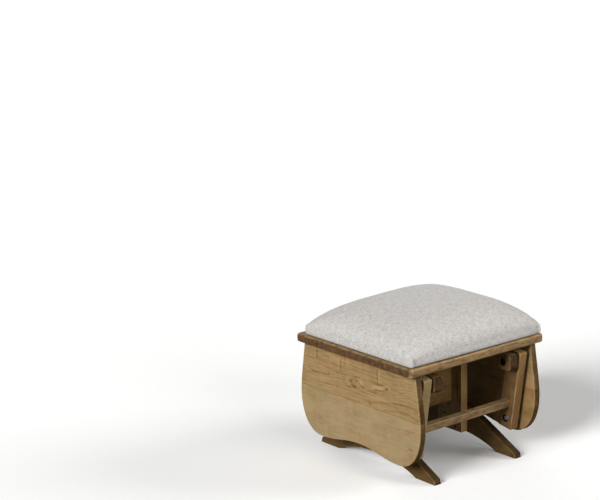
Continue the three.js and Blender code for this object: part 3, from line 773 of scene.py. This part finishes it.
def crown_points(u_steps, v_steps, half_x, half_y):
    """The crown's points, row by row from the front."""
    fall_u = crown_height(u_steps) * (1 + CROWN_LEAN_X * u_steps)
    fall_v = crown_height(v_steps) * (1 + CROWN_LEAN_Y * v_steps)
    points = []
    for v, down_v in zip(v_steps, fall_v):
        for u, down_u in zip(u_steps, fall_u):
            x, y = rounded_plan(u * half_x, v * half_y, half_x, half_y)
            y -= FRONT_SKEW * (1 + u) / 2 * (1 - v) / 2
            z = CUSHION_LOW.z + WALL + CROWN_RISE * down_u * down_v
            points.append((CUSHION_MIDDLE.x + x, CUSHION_MIDDLE.y + y, z))
    return points


def crown_border(columns, rows):
    """The crown's outermost points in turn: column, row, and the way the skirt lies from them on
    the flat cloth."""
    front = [(i, 0, (0, -1)) for i in range(columns - 1)]
    right = [(columns - 1, j, (1, 0)) for j in range(rows - 1)]
    rear = [(i, rows - 1, (0, 1)) for i in range(columns - 1, 0, -1)]
    left = [(0, j, (-1, 0)) for j in range(rows - 1, 0, -1)]
    return front + right + rear + left


def skirt_rings(rim):
    """The rings of cloth below the rim: down and in under the edge, then up round the seat board."""
    outward = []
    for before, after in zip(rim[-1:] + rim[:-1], rim[1:] + rim[:1]):
        along = after - before
        outward.append(Vector((along.y, -along.x, 0)).normalized())
    rings = []
    for out, height in SKIRT:
        lip = [point + way * out * MM for point, way in zip(rim, outward)]
        rings.append([(point.x, point.y, CUSHION_LOW.z + height * MM) for point in lip])
    pocket = []
    for x, y, level in rings[-1]:
        x = min(max(x, BOARD_LOW.x - POCKET_ROOM), BOARD_HIGH.x + POCKET_ROOM)
        y = min(max(y, BOARD_LOW.y - POCKET_ROOM), BOARD_HIGH.y + POCKET_ROOM)
        pocket.append((x, y, level))
    return rings + [pocket, [(x, y, BOARD_HIGH.z + POCKET_ROOM) for x, y, level in pocket]]


def cushion_skin():
    """The closed cloth with its own lengths as the UV map 'cloth'."""
    half_x, half_y = HALF_X - START_INSIDE, HALF_Y - START_INSIDE
    u_steps, u_marks = crown_steps(half_x)
    v_steps, v_marks = crown_steps(half_y)
    columns, rows = len(u_steps), len(v_steps)
    verts = crown_points(u_steps, v_steps, half_x, half_y)
    faces, marks = [], []
    for j in range(rows - 1):
        for i in range(columns - 1):
            a = j * columns + i
            faces.append((a, a + 1, a + columns + 1, a + columns))
            marks.append([(u_marks[i + p], v_marks[j + q]) for p, q in ((0, 0), (1, 0), (1, 1), (0, 1))])
    border = crown_border(columns, rows)
    count = len(border)
    ring = [j * columns + i for i, j, way in border]
    last = [Vector(verts[index]) for index in ring]
    drop = 0.0
    for points in skirt_rings(last):
        lower = range(len(verts), len(verts) + count)
        verts += points
        further = drop + (Vector(points[count // 8]) - last[count // 8]).length
        for k in range(count):
            after = (k + 1) % count
            faces.append((ring[k], lower[k], lower[after], ring[after]))
            near, far = [(u_marks[border[n][0]], v_marks[border[n][1]]) for n in (k, after)]
            corners = ((near, drop), (near, further), (far, further), (far, drop))
            way = border[k][2]
            marks.append([(u + way[0] * down, v + way[1] * down) for (u, v), down in corners])
        ring, last, drop = lower, [Vector(point) for point in points], further
    faces.append(tuple(ring))
    marks.append([verts[index][:2] for index in ring])
    mesh = bpy.data.meshes.new("cushion")
    mesh.from_pydata(verts, [], faces)
    layer = mesh.uv_layers.new(name="cloth")
    layer.data.foreach_set("uv", [value for face in marks for mark in face for value in mark])
    return mesh


def places(mesh):
    flat = np.empty(len(mesh.vertices) * 3)
    mesh.vertices.foreach_get("co", flat)
    return flat.reshape(-1, 3)


def pressed(piece):
    """Where the cloth's points lie after the foam has pressed on it from inside."""
    start = places(piece.data)
    verts = piece.data.vertices
    top = CUSHION_LOW.z + HELD_BELOW
    still = [vert.index for vert in verts if vert.co.z < top or vert.normal.z < HELD_FACING]
    held = piece.vertex_groups.new(name="held")
    held.add(still, 1.0, "REPLACE")
    cloth = piece.modifiers.new("foam_pressure", "CLOTH")
    for key, value in CLOTH.items():
        setattr(cloth.settings, key, value)
    cloth.settings.effector_weights.gravity = 0
    scene = bpy.context.scene
    for frame_number in range(1, LAST_FRAME + 1):
        scene.frame_set(frame_number)
    evaluated = piece.evaluated_get(bpy.context.evaluated_depsgraph_get())
    moved = places(evaluated.data) - start
    piece.modifiers.remove(cloth)
    piece.vertex_groups.remove(held)
    scene.frame_set(1)
    length = np.maximum(np.linalg.norm(moved, axis=1, keepdims=True), 1e-9)
    return start + moved * np.minimum(1.0, MOST_PRESSED / length)


def folded(points):
    """The corner folds: the side's cloth comes round the corner and lies over the front's or
    rear's cloth, which is drawn in beside it."""
    points = points.copy()
    height = points[:, 2] - CUSHION_LOW.z
    fade = np.clip(1 - np.clip(height / FOLD_HEIGHT, 0, 1) ** 2, 0, 1) ** 1.5
    fade *= np.clip(height / FOLD_FOOT, 0, 1)
    reach, blend = FOLD_BAND
    for side in SIDES.values():
        for end in ENDS.values():
            beyond = side * (CUSHION_MIDDLE.x - points[:, 0]) + HALF_X - FOLD_INSET
            on_face = np.clip((end * (points[:, 1] - CUSHION_MIDDLE.y) - HALF_Y + reach) / blend, 0, 1)
            share = np.clip(beyond / FOLD_STEP, 0, 1)
            depth = FOLD_DEPTH * share * np.exp(-np.clip(beyond, 0, None) / FOLD_LENGTH)
            points[:, 1] -= end * depth * fade * on_face
    return points


def add_cushion():
    mesh = cushion_skin()
    piece = placed("cushion", mesh)
    points = pressed(piece)
    lumps = np.array([noise.noise(Vector(point) / LUMP) for point in points])
    above = np.clip((points[:, 2] - CUSHION_LOW.z - LUMPS_FROM) / LUMPS_WITHIN, 0, 1)
    points[:, 2] += lumps * above * LUMP_HEIGHT
    points = folded(points)
    mesh.vertices.foreach_set("co", points.ravel())
    for polygon in mesh.polygons:
        polygon.use_smooth = True
    mesh.materials.append(LINEN)
    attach(piece, "carriage")
    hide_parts("seat_cushion")


add_cushion()


# Turned hardware: a profile spun round the line of its bolt. A profile is worked out from the
# piece's length in mm. Its points are the place outwards from the piece's inboard end and the
# radius, both in mm, and 6 where it is six-sided.
SPIN_STEPS = 48
SPIN_SHARP_TURN = math.radians(38)
BOLT_HOLE = 4.05
ARC_POINTS = 5


def six_sided(radius, step, corner_on_y):
    """The distance from the axis of one point of a six-sided ring, whose corners have the radius."""
    turn = 360 / SPIN_STEPS * step + (0 if corner_on_y else 30)
    return radius * math.cos(math.radians(30)) / math.cos(math.radians(turn % 60 - 30))


def spun(name, make_profile, finish, slot):
    """Replace the node by its profile in rings. A closed profile ends where it starts, and an open
    one has both ends on the axis."""
    low, high = (Vector(corner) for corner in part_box(name))
    centre = (low + high) / 2
    profile = make_profile((high.x - low.x) / MM)
    outward = SIDES[name.rsplit("_", 1)[1]]
    inboard = high.x if outward < 0 else low.x
    corner_on_y = high.y - low.y > high.z - low.z
    work = bmesh.new()
    rings = []
    for place, radius, *six in profile:
        x = inboard + outward * place * MM
        if radius == 0:
            rings.append([work.verts.new((x, centre.y, centre.z))])
            continue
        ring = []
        for step in range(SPIN_STEPS):
            reach = (six_sided(radius, step, corner_on_y) if six else radius) * MM
            angle = 2 * math.pi * step / SPIN_STEPS
            y = centre.y + reach * math.cos(angle)
            z = centre.z + reach * math.sin(angle)
            ring.append(work.verts.new((x, y, z)))
        rings.append(ring)
    if profile[0][1] > 0:
        rings.append(rings[0])
    for first, second in zip(rings, rings[1:]):
        for step in range(SPIN_STEPS):
            after = (step + 1) % SPIN_STEPS
            corners = [first[step % len(first)], first[after % len(first)]]
            corners += [second[after % len(second)], second[step % len(second)]]
            face = work.faces.new(list(dict.fromkeys(corners)))
            face.smooth = True
    bmesh.ops.recalc_face_normals(work, faces=work.faces)
    replaced(name, work, SPIN_SHARP_TURN, finish, slot)


def arc(place, radius, size, start, end):
    """Points of a rounded edge about its centre, from one angle in degrees to another."""
    angles = [math.radians(start + (end - start) * k / (ARC_POINTS - 1)) for k in range(ARC_POINTS)]
    return [(place - size * math.cos(a), radius + size * math.sin(a)) for a in angles]


def bolt_profile(length):
    """A low round head with a six-sided socket, a shank of 8 mm and a threaded end."""
    socket, socket_depth, head, head_height, dome = 2.6, 2.6, 7.4, 5.0, 1.8
    shank, root, pitch, thread, tip = 4.0, 3.45, 1.25, 11, 1
    profile = [(socket_depth, 0), (socket_depth, socket, 6), (0.3, socket, 6), (0.0, 3.4)]
    profile += arc(dome, head - dome, dome, 0, 90)
    profile += [(head_height - 0.2, head), (head_height, head - 0.2), (head_height, shank)]
    place = length - tip - thread
    while place + pitch < length - tip:
        profile += [(place, shank), (place + pitch / 2, root)]
        place += pitch
    return profile + [(place, shank), (length - tip, shank), (length, 3.0), (length, 0)]


def tube_profile(length, flange=0.0):
    """A tube with eased edges, and a flange at its outboard end where it has one."""
    radius, thickness, ease = 6.0, 2.0, 0.4
    profile = [(0.0, BOLT_HOLE + ease), (0.0, radius - ease), (ease, radius)]
    if flange:
        step = length - thickness
        profile += [(step, radius), (step, flange - ease), (step + ease, flange)]
    outer = flange or radius
    profile += [(length - ease, outer), (length, outer - ease)]
    return profile + [(length, BOLT_HOLE + ease), (length - ease, BOLT_HOLE), (ease, BOLT_HOLE)]


def flanged_profile(length):
    return tube_profile(length, flange=19.0)


def bearing_profile(width):
    """Two rings with the seals sunk between them."""
    inner, outer, radius, sunk, ease = 6.4, 8.6, 11.0, 0.6, 0.35
    front = [(ease, BOLT_HOLE), (0, BOLT_HOLE + ease), (0, inner), (sunk, inner), (sunk, outer)]
    front += [(0, outer), (0, radius - ease), (ease, radius)]
    return front + [(width - place, r) for place, r in reversed(front)]


def nut_profile(height):
    """A six-sided nut with chamfered corners and the round collar that holds its locking ring."""
    face, corner, collar, collar_height = 6.3, 7.5, 5.9, 1.6
    body = height - collar_height
    profile = [(0.4, BOLT_HOLE), (0.0, BOLT_HOLE + 0.5), (0.0, face), (0.7, corner, 6)]
    profile += [(body - 0.7, corner, 6), (body, face), (body, collar), (height - 0.8, collar)]
    return profile + [(height, collar - 0.8), (height, BOLT_HOLE + 0.3)]


def insert_profile(length):
    """A brass insert with a coarse outer thread."""
    root, crest, pitch = 5.1, 6.0, 2.2
    profile = [(0.0, BOLT_HOLE), (0.0, crest)]
    place = 1.2
    while place + pitch < length - 0.5:
        profile += [(place, crest), (place + 0.8, root), (place + 1.4, root)]
        place += pitch
    return profile + [(place, crest), (length - 0.6, crest), (length, root), (length, BOLT_HOLE)]


HARDWARE = {
    "upper_bolt": (bolt_profile, DARK_STEEL, "dark_steel"),
    "lower_bolt": (bolt_profile, BOLT_STEEL, "dark_steel"),
    "upper_bearing": (bearing_profile, DARK_STEEL, "bright_steel"),
    "lower_bearing": (bearing_profile, DARK_STEEL, "bright_steel"),
    "upper_spacer": (tube_profile, BRIGHT_STEEL, "bright_steel"),
    "flanged_spacer": (flanged_profile, BRIGHT_STEEL, "bright_steel"),
    "lock_nut": (nut_profile, BRIGHT_STEEL, "bright_steel"),
    "panel_insert": (insert_profile, BRASS, "brass"),
}
for side in SIDES:
    for end in ENDS:
        for kind, (make_profile, finish, slot) in HARDWARE.items():
            spun(f"{kind}_{end}_{side}", make_profile, finish, slot)


# Wood screws: low round heads on the uprights' inner faces, two into each foot, where the photograph
# shows them, and two into each hanger rail. Their places are y and z in mm.
SCREW_PLACES = [(21, 79), (-24, 47), (22, 284), (-22, 284)]
SCREW_SIZES = {
    "Head Radius": 3.9 * MM, "Head Height": 1.6 * MM,
    "Recess Length": 4.4 * MM, "Recess Width": 1.0 * MM,
}
HEAD_SIDES = 24
HEAD_TOP_SHARE = 0.72
SCREW_SEED = 4


def screw_tree():
    """Screw heads on the points of the mesh, each facing along the point's own 'facing'."""
    tree = bpy.data.node_groups.new("screws_on_uprights", "GeometryNodeTree")
    tree.interface.new_socket("Geometry", in_out="INPUT", socket_type="NodeSocketGeometry")
    for name in SCREW_SIZES:
        tree.interface.new_socket(name, in_out="INPUT", socket_type="NodeSocketFloat")
    tree.interface.new_socket("Geometry", in_out="OUTPUT", socket_type="NodeSocketGeometry")
    given = add(tree, "NodeGroupInput").outputs
    radius, height = given["Head Radius"], given["Head Height"]
    top = add(tree, MATH, {0: radius, 1: HEAD_TOP_SHARE}, operation="MULTIPLY")
    head = add(tree, "GeometryNodeMeshCone", {
        "Vertices": HEAD_SIDES, "Radius Top": top, "Radius Bottom": radius, "Depth": height,
    })
    cut = add(tree, "GeometryNodeMeshBoolean", {"Mesh 1": head}, operation="DIFFERENCE", solver="EXACT")
    lift = add(tree, "ShaderNodeCombineXYZ", {2: height})
    length, width = given["Recess Length"], given["Recess Width"]
    for size_x, size_y in ((length, width), (width, length)):
        size = add(tree, "ShaderNodeCombineXYZ", {0: size_x, 1: size_y, 2: height})
        bar = add(tree, "GeometryNodeMeshCube", {"Size": size})
        bar = add(tree, "GeometryNodeTransform", {"Geometry": bar, "Translation": lift})
        tree.links.new(bar.outputs[0], cut.inputs["Mesh 2"])
    facing = add(tree, "GeometryNodeInputNamedAttribute", {"Name": "facing"}, data_type="FLOAT_VECTOR")
    stand = add(tree, "FunctionNodeAlignRotationToVector", {"Vector": facing}, axis="Z")
    turn = add(tree, "FunctionNodeRandomValue", {3: math.pi, 8: SCREW_SEED}, data_type="FLOAT")
    spin = add(tree, "ShaderNodeCombineXYZ", {2: turn})
    stand = add(tree, "FunctionNodeRotateRotation", {
        "Rotation": stand, "Rotate By": spin,
    }, rotation_space="LOCAL")
    heads = add(tree, "GeometryNodeInstanceOnPoints", {
        "Points": given["Geometry"], "Instance": cut, "Rotation": stand,
    })
    loose = add(tree, "GeometryNodeRealizeInstances", {"Geometry": heads})
    dressed = add(tree, "GeometryNodeSetMaterial", {"Geometry": loose, "Material": DARK_STEEL})
    add(tree, "NodeGroupOutput", {"Geometry": dressed})
    return tree


def add_screws():
    points, facings = [], []
    for side, sign in SIDES.items():
        low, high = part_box(f"upright_{side}")
        inner = high[0] if sign < 0 else low[0]
        for y, z in SCREW_PLACES:
            points.append((inner, y * MM, z * MM))
            facings += [-sign, 0, 0]
    mesh = bpy.data.meshes.new("screw_places")
    mesh.from_pydata(points, [], [])
    mesh.attributes.new("facing", "FLOAT_VECTOR", "POINT").data.foreach_set("vector", facings)
    holder = placed("screw_places", mesh)
    tree = screw_tree()
    maker = holder.modifiers.new("screws", "NODES")
    maker.node_group = tree
    for item in tree.interface.items_tree:
        if item.in_out == "INPUT" and item.name in SCREW_SIZES:
            maker[item.identifier] = SCREW_SIZES[item.name]
    evaluated = holder.evaluated_get(bpy.context.evaluated_depsgraph_get())
    made = bpy.data.meshes.new_from_object(evaluated)
    bpy.data.objects.remove(holder)
    made.name = "wood_screws"
    piece = placed("wood_screws", made)
    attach(piece, NODES["upright_left"]["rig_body"])


add_screws()


# Stage: a pale floor, a dim room and four suns
FLOOR_HALF = 40
FLOOR_LEVEL = -0.1 * MM
# the room is dim where it lights the pieces and pale where it is seen behind them
ROOM_LIGHT, ROOM_SEEN = 0.12, 0.95
# each sun's direction from the ottoman, its strength, and its spread in degrees
SUNS = {
    "key": ((-0.87, -0.12, 0.43), 4.0, 26),
    "front": ((0.0, -0.95, 0.30), 1.25, 36),
    "right": ((0.78, -0.52, 0.35), 1.9, 30),
    "rear": ((0.40, 0.84, 0.36), 0.55, 50),
}


def add_floor():
    mesh = bpy.data.meshes.new("floor")
    plan = ((-1, -1), (1, -1), (1, 1), (-1, 1))
    corners = [(x * FLOOR_HALF, y * FLOOR_HALF, FLOOR_LEVEL) for x, y in plan]
    mesh.from_pydata(corners, [], [(0, 1, 2, 3)])
    floor = placed("floor", mesh)
    material = new_material("pale_floor")[0]
    mesh.materials.append(surfaced(material, {"Base Color": linear("#FBFBFA"), "Roughness": 0.9}))
    floor.visible_diffuse = False
    floor.visible_glossy = False


def add_room():
    room = bpy.data.worlds.new("studio")
    room.use_nodes = True
    tree = room.node_tree
    tree.nodes.clear()
    seen = add(tree, "ShaderNodeLightPath").outputs["Is Camera Ray"]
    strength = add(tree, MAP_RANGE, {"Value": seen, "To Min": ROOM_LIGHT, "To Max": ROOM_SEEN})
    pale = add(tree, "ShaderNodeBackground", {"Color": (1, 1, 1, 1), "Strength": strength})
    add(tree, "ShaderNodeOutputWorld", {"Surface": pale})
    bpy.context.scene.world = room


def add_suns():
    for name, (towards, strength, spread) in SUNS.items():
        lamp = bpy.data.lights.new(name, "SUN")
        lamp.energy = strength
        lamp.angle = math.radians(spread)
        sun = placed(name, lamp)
        sun.rotation_mode = "QUATERNION"
        sun.rotation_quaternion = Vector(towards).to_track_quat("Z", "Y")


add_floor()
add_room()
add_suns()
bpy.context.scene.view_settings.view_transform = "Standard"
